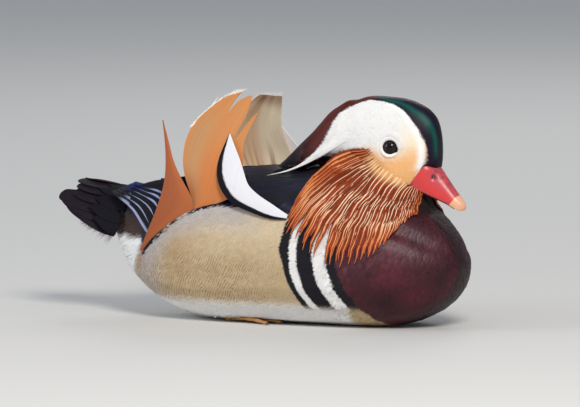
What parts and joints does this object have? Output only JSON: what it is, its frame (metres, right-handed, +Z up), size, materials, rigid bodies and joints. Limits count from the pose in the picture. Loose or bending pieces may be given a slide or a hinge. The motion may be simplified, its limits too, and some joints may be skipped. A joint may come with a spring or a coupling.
{
  "type": "mandarin duck",
  "caption": "Mandarin drake in breeding plumage, a still life-size model that rests on its belly with the neck drawn in and the sails raised.",
  "frame": {"origin": "the middle of the flat under the belly, on the floor", "axes": "+X forward to the bill, +Y to the bird's left, +Z up"},
  "size_m": [0.3263, 0.1284, 0.1697],
  "materials": {
    "body_feather": "soft buff feather with fine dark waves",
    "breast_feather": "glossy maroon feather",
    "hackle_feather": "rust-red hackles with pale shafts",
    "face_feather": "short matt white and orange-buff feather",
    "crest_feather": "glossy copper and green-black feather",
    "dark_feather": "blue-black vane with a low gloss",
    "sail_feather": "matt orange-cinnamon vane",
    "white_feather": "white vane edged with black",
    "bill_horn": "rosy red horn with a dull gloss",
    "nail_horn": "pale horn",
    "eye_glass": "near-black glass eye",
    "leg_skin": "yellow-orange scaled skin"
  },
  "bodies": {
    "root": {"torso": "body_feather", "breast": "breast_feather", "neck": "hackle_feather", "head": "face_feather", "crest": "crest_feather", "ruff_R": "hackle_feather", "ruff_L": "hackle_feather", "wing_R": "dark_feather", "wing_L": "dark_feather", "sail_R": "sail_feather", "sail_L": "sail_feather", "scapular_R": "white_feather", "scapular_L": "white_feather", "tail": "dark_feather", "bill_upper": "bill_horn", "bill_lower": "bill_horn", "bill_nail": "nail_horn", "eye_R": "eye_glass", "eye_L": "eye_glass", "leg_R": "leg_skin", "leg_L": "leg_skin", "foot_R": "leg_skin", "foot_L": "leg_skin"}
  },
  "joints": []
}
